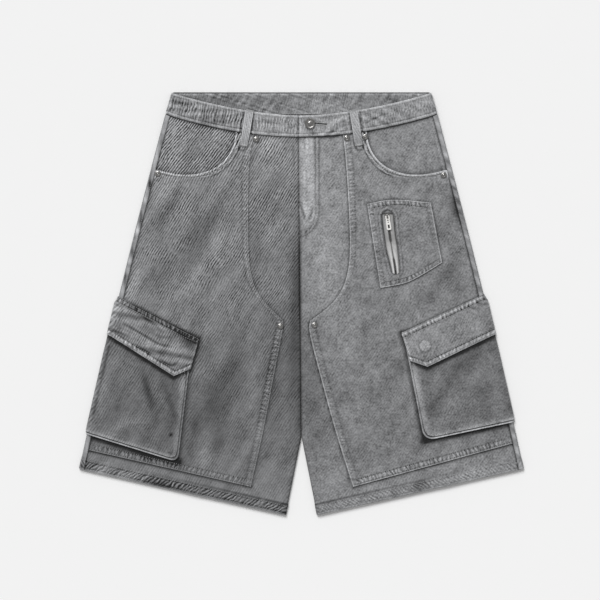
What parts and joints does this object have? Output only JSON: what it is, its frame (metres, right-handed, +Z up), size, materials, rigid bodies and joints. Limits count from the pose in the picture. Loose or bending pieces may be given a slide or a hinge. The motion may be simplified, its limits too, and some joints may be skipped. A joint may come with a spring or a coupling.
{
  "type": "cargo shorts",
  "caption": "Wide washed denim cargo shorts laid flat, with double-knee overlays, flapped side pockets, a zip patch pocket and a buttoned waist.",
  "frame": {"origin": "under the middle of the laid garment's box, on the surface that it lies on", "axes": "+X to the wearer's left, +Y up the garment to the waist, +Z up out of the front"},
  "size_m": [0.666, 0.6335, 0.0142],
  "materials": {
    "denim": "stone-washed grey denim twill, matt, worn light at the edges",
    "zip_tape": "pale woven zip tape",
    "bright_metal": "bright plated zip metal",
    "nickel": "antique nickel, satin"
  },
  "bodies": {
    "garment": {"front_panel_right": "denim", "front_panel_left": "denim", "back_panel_right": "denim", "back_panel_left": "denim", "double_knee_right": "denim", "double_knee_left": "denim", "pocket_facing_right": "denim", "pocket_facing_left": "denim", "fly_placket": "denim", "waistband": "denim", "belt_loop_front_right": "denim", "belt_loop_front_left": "denim", "belt_loop_back_right": "denim", "belt_loop_back_centre": "denim", "belt_loop_back_left": "denim", "cargo_gusset_right": "denim", "cargo_gusset_left": "denim", "cargo_face_right": "denim", "cargo_face_left": "denim", "cargo_flap_right": "denim", "cargo_flap_left": "denim", "zip_pocket": "denim", "zip_tape": "zip_tape", "zip_slider": "bright_metal", "waist_button": "nickel", "rivet_1": "nickel", "rivet_2": "nickel", "rivet_3": "nickel", "rivet_4": "nickel", "rivet_5": "nickel", "rivet_6": "nickel", "rivet_7": "nickel"},
    "pull_tab": {"zip_pull": "bright_metal"}
  },
  "joints": [
    {"name": "pull_tab_hinge", "type": "hinge", "parent": "garment", "child": "pull_tab", "pos_m": [0.1286, 0.131, 0.01062], "axis": [-0.9895, -0.1444, 0], "range_deg": [0, 150]}
  ]
}
